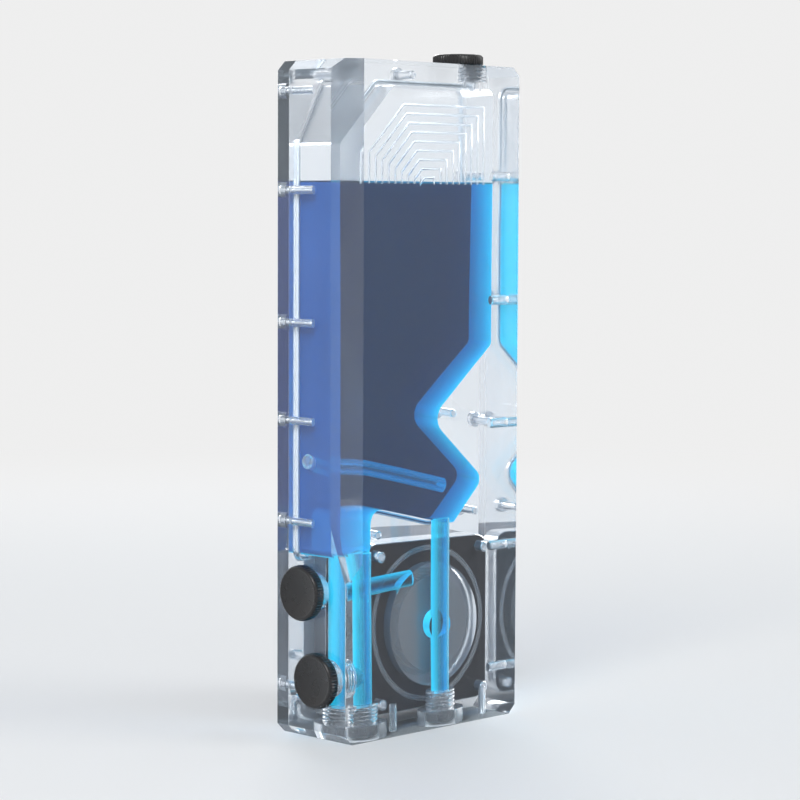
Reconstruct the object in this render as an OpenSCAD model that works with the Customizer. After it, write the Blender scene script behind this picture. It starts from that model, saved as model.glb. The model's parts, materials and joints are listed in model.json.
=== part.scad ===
// Coolant pump reservoir: a clear acrylic block with a milled coolant chamber,
// drilled channels, screw-in port plugs and a magnet-drive pump at its back.
// The front face is at the least Y, the port side at the least X, and the
// origin is the middle of the bottom face, block and back plate together.
// Helpers place everything by w, from the port side, d, from the front, and z.

/* [Reservoir body] */
// Width of the block, across the front face
block_w = 90; // [84:1:140]
// Height of the block
block_h = 245; // [225:1:400]
// Depth of the front block, without the back plate
block_d = 30; // [29.5:0.5:50]
// Thickness of the back plate
plate_t = 6; // [4:0.5:12]
// Cut across each corner of the outline
corner_cut = 3.4; // [1:0.1:6]
// Width of the flat on the tall edge between the port side and the front
edge_flat = 8.3; // [2:0.1:12]
// Height at which the flat runs out into the port side
flat_end_side = 79; // [70:1:120]
// Height at which the flat runs out into the front face
flat_end_front = 65; // [60:1:120]
// Height at which the flat comes to a point on the edge
flat_point = 57; // [40:1:58]

/* [Coolant chamber] */
// Acrylic left in front of the chamber
front_wall = 12.4; // [10:0.1:14]
// Acrylic left on the port side of the chamber
port_wall = 8.6; // [8.2:0.1:11]
// Acrylic left on the far side of the chamber
far_wall = 7.6; // [7.4:0.1:14]
// Acrylic left above the chamber
top_wall = 8.3; // [7.5:0.1:20]
// Length of the slanted roof corner, along each side
roof_slant = 21.5; // [5:0.5:35]
// Radius of the chamber's small corners
chamber_round = 3; // [1:0.5:4]
// Height where the far wall turns in towards the notch
notch_top = 141; // [130:1:180]
// Distance from the far side to the notch's point
notch_in = 39.3; // [30:0.1:46]
// Height of the notch's point
notch_z = 114; // [110:1:122]
// Radius of the notch's point
notch_round = 6; // [2:0.5:8]
// Distance from the far side to the pocket under the notch
pocket_in = 11.6; // [11:0.1:18]
// Height that the floor climbs to the pocket, at 45 degrees
pocket_rise = 15.7; // [8:0.1:17]
// Acrylic between the pump's housing and the chamber's low floor
floor_gap = 7.2; // [5:0.1:12]
// Fall of the sloping floor, in degrees
floor_slope = 12.6; // [8:0.1:15]
// Depth of the small well over the return channel, below the low floor
well_drop = 8.7; // [2:0.1:20]
// Level of the coolant
coolant_level = 202; // [150:1:225]

/* [Ports and channels] */
// Diameter of a port's thread bore
port_d = 13.16; // [10:0.02:13.2]
// Depth of a side port's thread bore
side_port_depth = 9; // [6.5:0.5:10]
// Depth of a bottom port's thread bore, past its counterbore
bottom_port_depth = 7; // [6.5:0.5:10]
// Diameter of the bottom ports' counterbores
sink_d = 21.7; // [21:0.1:22]
// Depth of the bottom ports' counterbores
sink_depth = 5.5; // [4.6:0.1:5.5]
// Diameter of the drilled channels
channel_d = 8.3; // [4:0.1:9]
// Distance from the front to the channels and bottom ports
channel_depth = 12.9; // [12:0.1:13.1]
// Distance from the port side to the return channel
return_w = 15.5; // [14:0.1:17]
// Height of the pump outlet's port
outlet_z = 53.5; // [46:0.1:55]
// Distance from the pump outlet's port forward to the pump's mounting face
outlet_in = 3.6; // [3.2:0.1:4]
// Diameter of the pump outlet's bore
outlet_bore = 6.2; // [3:0.1:6.6]
// Rise of the outlet bore towards the pump, in degrees
outlet_rise = 3.5; // [2:0.1:4]
// Height of the return port
inlet_z = 22.4; // [21:0.1:30]
// Distance from the far side to the fill port
fill_in = 17.2; // [13.6:0.1:30]
// Distance from the front to the fill port
fill_d = 15.6; // [15:0.1:18]
// Diameter of the bore under the fill port
fill_bore = 9.5; // [4:0.1:11]

/* [Plugs] */
// Diameter of a port plug's head
plug_head_d = 20.2; // [18.8:0.1:20.4]
// Diameter of the fill cap's head
cap_head_d = 18.9; // [18.2:0.1:22]
// Thickness of a plug's head
plug_head_t = 4.2; // [3.4:0.1:4.4]
// Length of a plug's threaded end
plug_stub = 5.6; // [3:0.1:5.9]
// Room past a plug's threaded end in the fill port
stub_room = 0.3; // [0.2:0.1:1]
// Radial play of a plug's threaded end in its port
thread_play = 0.08; // [0.03:0.01:0.1]
// Number of knurls round a plug's head
knurls = 56; // [20:1:90]
// Depth of a knurl
knurl_depth = 0.35; // [0.2:0.05:0.5]
// Cord diameter of a plug's seal ring
plug_cord = 1.5; // [1:0.1:1.6]
// Mean radius of a plug's seal ring
plug_ring_r = 7.9; // [7.7:0.05:8.2]
// Gap between a plug's head and the face that it closes
head_gap = 0.3; // [0.2:0.05:0.5]

/* [Fasteners] */
// Diameter of the back plate's screws
plate_screw_d = 3; // [2:0.1:3.2]
// Diameter of their heads
plate_head_d = 5.5; // [4.5:0.1:6]
// Height of their heads
plate_head_h = 3; // [1.5:0.1:3.6]
// Depth of their threads in the block
plate_screw_grip = 10.5; // [4:0.5:10.5]
// Distance from the port side to the screws in its wall
port_screw_in = 4.2; // [3.4:0.1:4.6]
// Distance from the far side to the screws in its wall
far_screw_in = 3.6; // [3.2:0.1:3.8]
// Height of the lowest screw
plate_screw_low = 18; // [8:0.1:18.5]
// Diameter of the mounting holes, before the thread is cut
mount_hole_d = 3.3; // [2:0.1:4.2]
// Depth of the mounting holes in the far side
side_hole_depth = 9.6; // [4:0.1:11]
// Distance from the front to the mounting holes in the far side
side_hole_d = 10; // [4:0.1:10.4]
// Height of the lowest mounting hole in the far side
side_hole_z = 17.9; // [8:0.1:24]
// Pitch of the mounting holes in the far side
side_hole_pitch = 46.6; // [40:0.1:52]
// Number of mounting holes in the far side
side_holes = 5; // [1:1:5]
// Depth of the mounting holes in the bottom
bottom_hole_depth = 10; // [4:0.5:14]
// Distance from the front to the mounting holes in the bottom
bottom_hole_d = 14.8; // [6:0.1:16]
// Distance of the mounting holes in the bottom from the pump's axis
bottom_hole_off = 24; // [14.6:0.1:25]

/* [Pump] */
// Side of the pump's square housing
pump_side = 62; // [58:0.5:64]
// Acrylic between the housing and the far side
pump_in = 3; // [2:0.1:5]
// Height of the housing above the bottom
pump_up = 5.5; // [5.3:0.1:8]
// Depth of the pocket that the housing sits in, in the block
pump_pocket = 6; // [4:0.1:6]
// Length of the housing behind its mounting face
housing_l = 24; // [23.5:0.5:40]
// Thickness of the housing's rear cover
cover_t = 4; // [3:0.1:8]
// Radius of the housing's corners
housing_round = 5; // [1.5:0.5:8]
// Thickness of the housing's front web
web_t = 4; // [2.4:0.1:5]
// Wall of the housing at its thinnest
housing_wall = 3.5; // [2:0.1:4.5]
// Diameter of the impeller chamber in the block
volute_d = 46; // [40:0.5:50]
// Depth of the impeller chamber
volute_depth = 5.5; // [4:0.1:6.5]
// Diameter of the inlet eye
eye_d = 11; // [6:0.5:14]
// Distance of the pump's screws from the housing's sides
pump_screw_in = 4; // [3.8:0.1:6]
// Diameter of the pump's screws
pump_screw_d = 4; // [2.5:0.1:5]
// Diameter of the pump screws' heads
pump_head_d = 7; // [5.5:0.1:7.4]
// Height of the pump screws' heads
pump_head_h = 2.6; // [1.5:0.1:3.4]
// Depth of the pump screws' threads in the block
pump_screw_grip = 5.5; // [3:0.1:8]
// Cord diameter of the pump's seal ring
pump_cord = 1.8; // [1:0.1:2.2]
// Distance of the pump's seal ring from the housing's sides
pump_ring_in = 2.8; // [2:0.1:4]
// Inner radius of the rotor cup
cup_r = 16; // [13:0.1:17]
// Depth of the rotor cup's straight wall
cup_straight = 7; // [5:0.1:8]
// Depth of the rotor cup's rounded end
cup_dome = 8; // [6:0.1:8.4]
// Wall of the rotor cup
cup_wall = 1; // [0.5:0.1:1.5]
// Radius of the rotor cup's rim
cup_rim_r = 20; // [19:0.1:24]
// Gap between the rotor and its cup
rotor_gap = 0.8; // [0.3:0.1:1.5]
// Radius of the bearing ball
ball_r = 2.5; // [1.5:0.1:2.8]
// Radius of the impeller's discs
impeller_r = 18; // [15:0.1:20]
// Number of impeller vanes
vanes = 7; // [3:1:12]
// Thickness of a vane
vane_t = 1.1; // [0.5:0.1:2]
// Thickness of the circuit board
board_t = 1.6; // [1:0.1:2]
// Number of stator poles
poles = 6; // [3:1:6]

/* [Seals and tube] */
// Cord diameter of the chamber's seal
seal_cord = 1.5; // [1:0.1:1.6]
// Acrylic between the chamber and the seal's groove
seal_land = 0.6; // [0.3:0.1:0.7]
// Outer diameter of the tube inside the chamber
tube_d = 5.6; // [4:0.1:8]
// Bore of the tube inside the chamber
tube_bore = 3.6; // [1:0.1:3.8]
// Height at which the tube leaves the port wall
tube_z = 100; // [96:0.5:180]
// Length of the tube inside the chamber
tube_l = 57; // [10:1:60]

/* [Hidden] */

$fn = 64;
arc_steps = 6;             // straight pieces in each rounded corner of an outline
past = 1;                  // how far a cut runs past the face that it opens
wet_gap = 0.02;            // play between the coolant and the walls that hold it
fit = 0.1;                 // play of a piece that is dropped or screwed into place
turn_gap = 0.3;            // gap between pieces that turn on each other
body_d = block_d + plate_t;

// Places and sizes that follow from others
pump_w = block_w - pump_in - pump_side / 2;
pump_z = pump_up + pump_side / 2;
fill_w = block_w - fill_in;
fill_port_depth = plug_stub + stub_room;
outlet_d = block_d - pump_pocket - outlet_in;
hollow_d = pump_side - 2 * housing_wall;
pump_screw_off = pump_side / 2 - pump_screw_in;
pump_ring_r = pump_side / 2 - pump_ring_in;

acrylic = [0.80, 0.87, 0.94, 0.35];
coolant_blue = [0.02, 0.25, 0.62, 0.7];
plug_black = [0.05, 0.05, 0.06];
seal_clear = [0.85, 0.88, 0.90];
screw_steel = [0.75, 0.76, 0.78];
housing_grey = [0.17, 0.15, 0.19];

// ---- outlines --------------------------------------------------------------

function unit(v) = v / norm(v);

// Points of the arc that rounds corner b, between a and c
function corner_arc(a, b, c, r) =
    let (u = unit(a - b), v = unit(c - b), half = acos(u * v) / 2,
         centre = b + unit(u + v) * r / sin(half),
         from = b + u * r / tan(half) - centre,
         to = b + v * r / tan(half) - centre,
         start = atan2(from.y, from.x),
         turn = (atan2(to.y, to.x) - start + 540) % 360 - 180)
    [for (i = [0 : arc_steps])
        let (t = start + turn * i / arc_steps) centre + r * [cos(t), sin(t)]];

// A closed outline with each corner rounded by its own radius
function rounded(points, radii) =
    let (n = len(points))
    [for (i = [0 : n - 1])
        each corner_arc(points[(i + n - 1) % n], points[i], points[(i + 1) % n], radii[i])];

function out_normal(a, b) = let (e = unit(b - a)) [e.y, -e.x];
function turns_left(a, b, c) = let (e = b - a, f = c - b) e.x * f.y - e.y * f.x > 0;

// The corners of an anticlockwise outline, moved out by grow
function outset(points, grow) =
    let (n = len(points))
    [for (i = [0 : n - 1])
        let (a = out_normal(points[(i + n - 1) % n], points[i]),
             b = out_normal(points[i], points[(i + 1) % n]))
        points[i] + (a + b) * grow / (1 + a * b)];

// The radii that keep the rounded corners concentric with that outset
function outset_radii(points, radii, grow) =
    let (n = len(points))
    [for (i = [0 : n - 1])
        turns_left(points[(i + n - 1) % n], points[i], points[(i + 1) % n])
            ? radii[i] + grow : radii[i] - grow];

function square_points(side) =
    [for (s = [[-1, -1], [1, -1], [1, 1], [-1, 1]]) s * side / 2];

module soft_square(side, r) polygon(rounded(square_points(side), [r, r, r, r]));

// ---- placing ---------------------------------------------------------------

module at(w, d, z) translate([w - block_w / 2, d - body_d / 2, z]) children();

// Straight round bores and rods along each direction
module along_w(d, z, w0, w1, dia)
    at(w0, d, z) rotate([0, 90, 0]) cylinder(d = dia, h = w1 - w0);
module along_d(w, z, d0, d1, dia)
    at(w, d0, z) rotate([-90, 0, 0]) cylinder(d = dia, h = d1 - d0);
module along_z(w, d, z0, z1, dia)
    at(w, d, z0) cylinder(d = dia, h = z1 - z0);

// An outline in the (w, z) plane, as thick as from d0 to d1
module slab(points, d0, d1)
    at(0, d1, 0) rotate([90, 0, 0]) linear_extrude(d1 - d0) polygon(points);

// The pump's own frame: +Z runs to the back from its mounting face
module at_pump()
    at(pump_w, block_d - pump_pocket, pump_z) rotate([-90, 0, 0]) children();

module each_corner(off)
    for (x = [-off, off], y = [-off, off]) translate([x, y, 0]) children();

// Ports: local +Z points out of the mouth, with 0 at the face that a plug closes
module at_fill_port() at(fill_w, fill_d, block_h) children();
module at_outlet_port() at(0, outlet_d, outlet_z) rotate([0, -90, 0]) children();
module at_inlet_port() at(0, channel_depth, inlet_z) rotate([0, -90, 0]) children();
module at_return_drain() at(return_w, channel_depth, sink_depth) rotate([180, 0, 0]) children();
module at_pump_drain() at(pump_w, channel_depth, sink_depth) rotate([180, 0, 0]) children();

// ---- what several pieces share ---------------------------------------------

outer_points = [
    [corner_cut, 0], [block_w - corner_cut, 0], [block_w, corner_cut],
    [block_w, block_h - corner_cut], [block_w - corner_cut, block_h],
    [corner_cut, block_h], [0, block_h - corner_cut], [0, corner_cut]
];

far_w = block_w - far_wall;
roof_z = block_h - top_wall;
notch_w = block_w - notch_in;
pocket_w = block_w - pocket_in;
floor_z = pump_up + pump_side + floor_gap;
pocket_z = floor_z + pocket_rise;
well_z = floor_z - well_drop;
well_w = return_w + channel_d / 2;
// Where the sloping floor meets the low floor, and where it meets the well
slope_foot = pump_w + 2.5;
slope_top_z = floor_z + (slope_foot - well_w) * tan(floor_slope);
// The low floor's far end, from which the floor climbs to the pocket at 45 degrees
climb_w = pocket_w - pocket_rise;
well_round = min(chamber_round, (well_w - port_wall) / 3);

chamber_points = [
    [port_wall, well_z], [well_w, well_z], [well_w, slope_top_z],
    [slope_foot, floor_z], [climb_w, floor_z], [pocket_w, pocket_z],
    [notch_w, notch_z], [far_w, notch_top], [far_w, roof_z],
    [port_wall + roof_slant, roof_z], [port_wall, roof_z - roof_slant]
];
chamber_radii = [
    well_round, well_round, 5, 8, 2, 4,
    notch_round, chamber_round, chamber_round,
    chamber_round, chamber_round
];

// The seal runs round the chamber, its groove a land away from the edge
seal_radii = [for (r = chamber_radii) max(r, 2.6)];
function seal_line(grow) =
    rounded(outset(chamber_points, grow), outset_radii(chamber_points, seal_radii, grow));

// Screws of the back plate: four up each side wall, in line with the chamber,
// two below them, one in the top wall, one inside the notch and two under the floor
port_screw_z = [
    plate_screw_low, floor_z + 3.7, notch_z + 1.2, notch_top + 9.8,
    block_h - 46.4, block_h - 10.7
];
far_screw_z = [notch_z - 2.9, notch_top + 16.7, block_h - 40.7];
roof_screw_w = port_wall + roof_slant + 13.2;
function slope_z(w) = floor_z + (slope_foot - w) * tan(floor_slope);
slope_screw_w = well_w + seal_land + seal_cord + 6.25;
plate_screw_spots = [
    for (z = port_screw_z) [port_screw_in, z],
    for (z = far_screw_z) [block_w - far_screw_in, z],
    [roof_screw_w, block_h - top_wall / 2],
    [notch_w + 15.8, notch_z + 1],
    [pocket_w + 0.1, floor_z + 2.8],
    [slope_screw_w, slope_z(slope_screw_w) - 9.9]
];

// The bores from the channels and ports, the same for the block and the coolant
module channels(play = 0) {
    dia = channel_d - 2 * play;
    bottom = sink_depth + plug_stub + head_gap;
    start = plug_stub + head_gap;
    along_z(return_w, channel_depth, bottom + play, well_z + past, dia);
    along_z(pump_w, channel_depth, bottom + play, floor_z + 2 * past, dia);
    along_w(channel_depth, inlet_z, start + play, return_w, dia);
}

module outlet_bore(play = 0)
    at(plug_stub + head_gap, outlet_d, outlet_z - outlet_bore / 4)
        rotate([0, 90 - outlet_rise, 0])
            cylinder(d = outlet_bore - 2 * play, h = pump_w - plug_stub - volute_d / 4);

// The flat along the tall edge, which runs out in one slanting facet
module edge_cut() {
    rise_d = (flat_end_side - flat_point) / edge_flat;
    rise_w = (flat_end_front - flat_point) / edge_flat;
    tilt = acos(1 / norm([rise_w, rise_d, 1]));
    heading = atan2(-rise_d, -rise_w);
    reach = 2 * block_h;
    intersection() {
        at(0, 0, 0) linear_extrude(block_h + past)
            polygon([[-past, -past], [edge_flat + past, -past], [-past, edge_flat + past]]);
        at(0, 0, flat_point) rotate([0, tilt, heading])
            translate([-reach / 2, -reach / 2, 0]) cube(reach);
    }
}

// ---- the acrylic body ------------------------------------------------------

module reservoir_block() color(acrylic) difference() {
    slab(outer_points, 0, block_d);
    edge_cut();
    slab(rounded(chamber_points, chamber_radii), front_wall, block_d + past);
    seal_groove();
    tube_rod(tube_d + 2 * wet_gap, wet_gap);
    channels();
    outlet_bore();
    at_fill_port() {
        translate([0, 0, -fill_port_depth]) cylinder(d = port_d, h = fill_port_depth + past);
        translate([0, 0, -top_wall - past]) cylinder(d = fill_bore, h = top_wall + past);
    }
    at_outlet_port() port_bore(side_port_depth);
    at_inlet_port() port_bore(side_port_depth);
    at_return_drain() sunk_port();
    at_pump_drain() sunk_port();
    pump_space();
    for (i = [0 : side_holes - 1])
        along_w(side_hole_d, side_hole_z + i * side_hole_pitch,
                block_w - side_hole_depth, block_w + past, mount_hole_d);
    for (off = [-bottom_hole_off, bottom_hole_off])
        along_z(pump_w + off, bottom_hole_d, -past, bottom_hole_depth, mount_hole_d);
    for (s = plate_screw_spots)
        along_d(s.x, s.y, block_d - plate_screw_grip - fit, block_d + past,
                plate_screw_d + fit);
}

module port_bore(depth)
    translate([0, 0, -depth]) cylinder(d = port_d, h = depth + past);

module sunk_port() {
    port_bore(bottom_port_depth);
    cylinder(d = sink_d, h = sink_depth + past);
}

// Pocket for the housing, impeller chamber, inlet eye and screw holes
module pump_space() at_pump() {
    linear_extrude(pump_pocket + past) soft_square(pump_side + 2 * turn_gap, housing_round);
    translate([0, 0, -volute_depth]) cylinder(d = volute_d, h = volute_depth + past);
    translate([0, 0, channel_depth - block_d + pump_pocket])
        cylinder(d = eye_d, h = block_d - pump_pocket - channel_depth);
    each_corner(pump_screw_off) translate([0, 0, -pump_screw_grip - fit])
        cylinder(d = pump_screw_d + fit, h = pump_screw_grip + fit + past);
}

module seal_groove() difference() {
    slab(seal_line(seal_land + seal_cord + fit), block_d - seal_cord, block_d + past);
    slab(seal_line(seal_land), 0, block_d + 2 * past);
}

module back_plate() color(acrylic) difference() {
    slab(outer_points, block_d, body_d);
    at_pump() linear_extrude(body_d) soft_square(pump_side + 2 * turn_gap, housing_round);
    for (s = plate_screw_spots) {
        along_d(s.x, s.y, block_d - past, body_d + past, plate_screw_d + 2 * fit);
        along_d(s.x, s.y, body_d - plate_head_h - fit, body_d + past, plate_head_d + 2 * fit);
    }
}

module chamber_seal() color(seal_clear) difference() {
    slab(seal_line(seal_land + seal_cord + fit / 2), block_d - seal_cord, block_d);
    slab(seal_line(seal_land + fit / 2), 0, block_d + past);
}

// The coolant fills the chamber to its level, and the channels below it
module coolant() color(coolant_blue) difference() {
    union() {
        intersection() {
            slab(rounded(outset(chamber_points, -wet_gap),
                         outset_radii(chamber_points, chamber_radii, -wet_gap)),
                 front_wall + wet_gap, block_d - wet_gap);
            at(0, 0, 0) cube([block_w, body_d, coolant_level]);
        }
        channels(wet_gap);
        outlet_bore(wet_gap);
        along_d(pump_w, pump_z, channel_depth, block_d - pump_pocket,
                eye_d - 2 * wet_gap);
    }
    tube_rod(tube_d + 2 * wet_gap, wet_gap);
    at_pump() translate([0, 0, -volute_depth - wet_gap])
        cylinder(d = volute_d + 2 * wet_gap, h = volute_depth + past);
}

// A rod parallel to the sloping floor, let into the port wall
tube_depth = (front_wall + block_d) / 2 + 2;
tube_socket = 3;
module tube_rod(dia, deeper = 0)
    at(port_wall, tube_depth, tube_z) rotate([0, 90 + floor_slope, 0])
        translate([0, 0, -tube_socket - deeper])
            cylinder(d = dia, h = tube_l + tube_socket + 2 * deeper);

module chamber_tube() color(acrylic) difference() {
    tube_rod(tube_d);
    tube_rod(tube_bore, past);
}

// ---- port plugs ------------------------------------------------------------

function knurl_outline(dia) =
    [for (i = [0 : 2 * knurls - 1])
        (dia / 2 - (i % 2) * knurl_depth)
            * [cos(180 * i / knurls), sin(180 * i / knurls)]];

// Head on the outside, groove for the ring, threaded end in the port
module plug(head_d) color(plug_black) {
    face_d = head_d - 4 * knurl_depth;
    rim = 0.6;
    ring_top = plug_cord + fit;
    difference() {
        union() {
            translate([0, 0, head_gap + rim / 2])
                linear_extrude(plug_head_t - 1.5 * rim) polygon(knurl_outline(head_d));
            translate([0, 0, head_gap]) cylinder(d = face_d, h = plug_head_t);
        }
        difference() {
            cylinder(r = plug_ring_r + plug_cord / 2 + fit, h = ring_top);
            cylinder(r = plug_ring_r - plug_cord / 2 - fit, h = ring_top);
        }
    }
    stub_d = port_d - 2 * thread_play;
    translate([0, 0, 1 - plug_stub]) cylinder(d = stub_d, h = plug_stub + head_gap - 0.9);
    translate([0, 0, -plug_stub]) cylinder(d1 = stub_d - 2, d2 = stub_d, h = 1.001);
}

module plug_seal() color("black") translate([0, 0, plug_cord / 2 + fit / 2])
    rotate_extrude() translate([plug_ring_r, 0]) circle(d = plug_cord);

module fill_cap() at_fill_port() plug(cap_head_d);
module fill_cap_seal() at_fill_port() plug_seal();
module outlet_plug() at_outlet_port() plug(plug_head_d);
module outlet_plug_seal() at_outlet_port() plug_seal();
module inlet_plug() at_inlet_port() plug(plug_head_d);
module inlet_plug_seal() at_inlet_port() plug_seal();
module return_drain_plug() at_return_drain() plug(plug_head_d);
module return_drain_seal() at_return_drain() plug_seal();
module pump_drain_plug() at_pump_drain() plug(plug_head_d);
module pump_drain_seal() at_pump_drain() plug_seal();

// ---- fasteners -------------------------------------------------------------

// Socket-head screw: head from 0 up, shank below
module cap_screw(dia, head_d, head_h, length) color(screw_steel) difference() {
    union() {
        cylinder(d = head_d, h = head_h);
        translate([0, 0, -length]) cylinder(d = dia, h = length + 0.01);
    }
    translate([0, 0, head_h / 2]) cylinder(d = dia, h = head_h, $fn = 6);
}

module plate_screws() for (s = plate_screw_spots)
    at(s.x, body_d - plate_head_h, s.y) rotate([-90, 0, 0])
        cap_screw(plate_screw_d, plate_head_d, plate_head_h,
                  plate_t - plate_head_h + plate_screw_grip);

// ---- the pump --------------------------------------------------------------

module pump_screw_holes(from, to) each_corner(pump_screw_off)
    translate([0, 0, from]) cylinder(d = pump_screw_d + 2 * fit, h = to - from);

module pump_housing() color(housing_grey) at_pump() difference() {
    linear_extrude(housing_l) soft_square(pump_side, housing_round);
    translate([0, 0, web_t]) cylinder(d = hollow_d, h = housing_l);
    translate([0, 0, -past]) cylinder(r = cup_rim_r + fit, h = cup_rim_t + past);
    cylinder(r = cup_r + cup_wall + fit, h = housing_l);
    difference() {
        translate([0, 0, -past])
            cylinder(r = pump_ring_r + pump_cord / 2 + fit, h = pump_cord + past);
        translate([0, 0, -2 * past])
            cylinder(r = pump_ring_r - pump_cord / 2 - fit, h = pump_cord + 3 * past);
    }
    pump_screw_holes(-past, housing_l + past);
    translate([0, 0, inlet_back]) rotate([0, -90, 0])
        cylinder(d = inlet_d, h = pump_side);
}

cup_rim_t = 2;
inlet_d = 7;
inlet_back = 17.5;         // from the mounting face to the cable inlet's axis
cable_d = 4.4;

module pump_cover() color(housing_grey) at_pump() translate([0, 0, housing_l])
    difference() {
        union() {
            linear_extrude(cover_t - 1) soft_square(pump_side, housing_round);
            linear_extrude(cover_t) soft_square(pump_side - 2, housing_round - 1);
        }
        translate([0, 0, cover_t - 0.6]) cylinder(r = 22, h = past);
        pump_screw_holes(-past, cover_t + past);
        each_corner(pump_screw_off) translate([0, 0, cover_t - pump_head_h - fit])
            cylinder(d = pump_head_d + 2 * fit, h = cover_t);
    }

module pump_screws() at_pump() each_corner(pump_screw_off)
    translate([0, 0, housing_l + cover_t - pump_head_h])
        cap_screw(pump_screw_d, pump_head_d, pump_head_h,
                  housing_l + cover_t - pump_head_h + pump_screw_grip);

module pump_seal() color("black") at_pump() translate([0, 0, pump_cord / 2])
    rotate_extrude() translate([pump_ring_r, 0]) circle(d = pump_cord);

// Half profile of the cup's bowl, grown by grow: straight wall, then a quarter oval
function bowl(grow) = [
    [0, 0], [cup_r + grow, 0],
    for (i = [0 : 12])
        [(cup_r + grow) * cos(7.5 * i), cup_straight + (cup_dome + grow) * sin(7.5 * i)]
];

post_r = 3;
ball_z = 4.5;              // from the mounting face to the middle of the bearing ball

module rotor_cup() color("dimgray") at_pump() difference() {
    union() {
        cylinder(r = cup_rim_r, h = cup_rim_t);
        rotate_extrude() polygon(bowl(cup_wall));
    }
    difference() {
        translate([0, 0, -0.01]) rotate_extrude() polygon(bowl(0));
        translate([0, 0, ball_z]) cylinder(r = post_r, h = cup_straight + cup_dome);
    }
    translate([0, 0, ball_z]) sphere(r = ball_r + wet_gap);
}

module bearing_ball() color("ivory") at_pump() translate([0, 0, ball_z]) sphere(r = ball_r);

hub_r = 7.2;
disc_t = 1.2;
shroud_t = 0.6;
impeller_top = volute_depth - 0.5;

// A vane is the strip between two arcs that lean back from the inlet eye
vane_points = let (lean = 55, inner = eye_d / 2 + 0.8, outer = impeller_r - 0.3)
    [for (side = [-1, 1], i = [0 : 8])
        let (k = side < 0 ? i : 8 - i, r = inner + (outer - inner) * k / 8,
             t = -lean * pow(k / 8, 0.8) + side * vane_t / 2 / r * 180 / PI)
        r * [cos(t), sin(t)]];

module impeller() color("black") at_pump() {
    difference() {
        union() {
            translate([0, 0, -turn_gap - disc_t]) cylinder(r = impeller_r, h = disc_t);
            translate([0, 0, -turn_gap - disc_t / 2])
                cylinder(r = hub_r, h = cup_straight + cup_dome - rotor_gap);
        }
        translate([0, 0, ball_z])
            cylinder(r = post_r + rotor_gap, h = cup_straight + cup_dome);
        translate([0, 0, ball_z]) sphere(r = ball_r + turn_gap);
    }
    for (i = [0 : vanes - 1]) rotate(360 * i / vanes)
        translate([0, 0, -impeller_top + shroud_t / 2])
            linear_extrude(impeller_top - turn_gap - disc_t) polygon(vane_points);
    translate([0, 0, -impeller_top]) difference() {
        cylinder(r = impeller_r, h = shroud_t);
        translate([0, 0, -past]) cylinder(d = eye_d, h = shroud_t + 2 * past);
    }
}

module rotor_magnet() color("darkslategray") at_pump() difference() {
    rotate_extrude() polygon(bowl(-rotor_gap));
    translate([0, 0, -past]) cylinder(r = hub_r + wet_gap, h = housing_l);
}

pole_w = 6;
pole_h = 7;
stator_z = 11;             // from the mounting face to the middle of the stator
shoe_r = cup_r + cup_wall + turn_gap;
yoke_r = hollow_d / 2 - 0.3;
yoke_t = 4.6;
coil_t = 2;
coil_gap = 0.8;

module stator_core() color("silver") at_pump() translate([0, 0, stator_z - pole_h / 2])
    difference() {
        union() {
            difference() {
                cylinder(r = yoke_r, h = pole_h);
                translate([0, 0, -past]) cylinder(r = yoke_r - yoke_t, h = pole_h + 2 * past);
            }
            for (i = [0 : poles - 1]) rotate(360 * i / poles)
                translate([0, -pole_w / 2, 0]) cube([yoke_r - yoke_t + 1, pole_w, pole_h]);
        }
        translate([0, 0, -past]) cylinder(r = shoe_r, h = pole_h + 2 * past);
    }

module stator_coils() color("orange") at_pump() for (i = [0 : poles - 1])
    rotate(360 * i / poles) translate([shoe_r + coil_gap, 0, stator_z]) difference() {
        reach = sqrt(pow(yoke_r - yoke_t, 2) - pow(pole_w / 2 + coil_t, 2));
        coil_l = reach - shoe_r - coil_gap - fit;
        translate([0, -pole_w / 2 - coil_t, -pole_h / 2 - coil_t])
            cube([coil_l, pole_w + 2 * coil_t, pole_h + 2 * coil_t]);
        translate([-past, -pole_w / 2 - fit, -pole_h / 2 - fit])
            cube([coil_l + 2 * past, pole_w + 2 * fit, pole_h + 2 * fit]);
    }

board_z = 19;
capacitor_d = 7;
capacitor_h = 2.8;
chip_size = [12, 8, 1.4];
module circuit_board() color("seagreen") at_pump() translate([0, 0, board_z]) {
    cylinder(d = hollow_d - 2 * turn_gap, h = board_t);
    for (i = [-2, -0.6, 0.8]) translate([i * capacitor_d, 1.7 * capacitor_d, 0])
        cylinder(d = capacitor_d, h = board_t + capacitor_h);
    translate([-chip_size.x / 2, -1.75 * chip_size.y, 0])
        cube(chip_size + [0, 0, board_t]);
}

// Rubber grommet that the cable would enter by
module cable_inlet() color("black") at_pump()
    translate([-hollow_d / 2, 0, inlet_back]) rotate([0, -90, 0]) {
        lip = 2;
        wall = housing_wall;
        difference() {
            union() {
                translate([0, 0, 0.2]) cylinder(d = inlet_d - fit, h = wall + lip);
                translate([0, 0, wall + 0.01]) cylinder(d = inlet_d + 3, h = lip);
                translate([0, 0, wall + lip]) cylinder(d1 = inlet_d + 1, d2 = inlet_d - 1, h = 3);
            }
            translate([0, 0, -2]) cylinder(d = cable_d, h = 3 * (wall + lip));
        }
    }

reservoir_block();
back_plate();
chamber_seal();
coolant();
chamber_tube();
fill_cap();
fill_cap_seal();
outlet_plug();
outlet_plug_seal();
inlet_plug();
inlet_plug_seal();
return_drain_plug();
return_drain_seal();
pump_drain_plug();
pump_drain_seal();
plate_screws();
pump_housing();
pump_cover();
pump_screws();
pump_seal();
rotor_cup();
bearing_ball();
impeller();
rotor_magnet();
stator_core();
stator_coils();
circuit_board();
cable_inlet();
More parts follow.
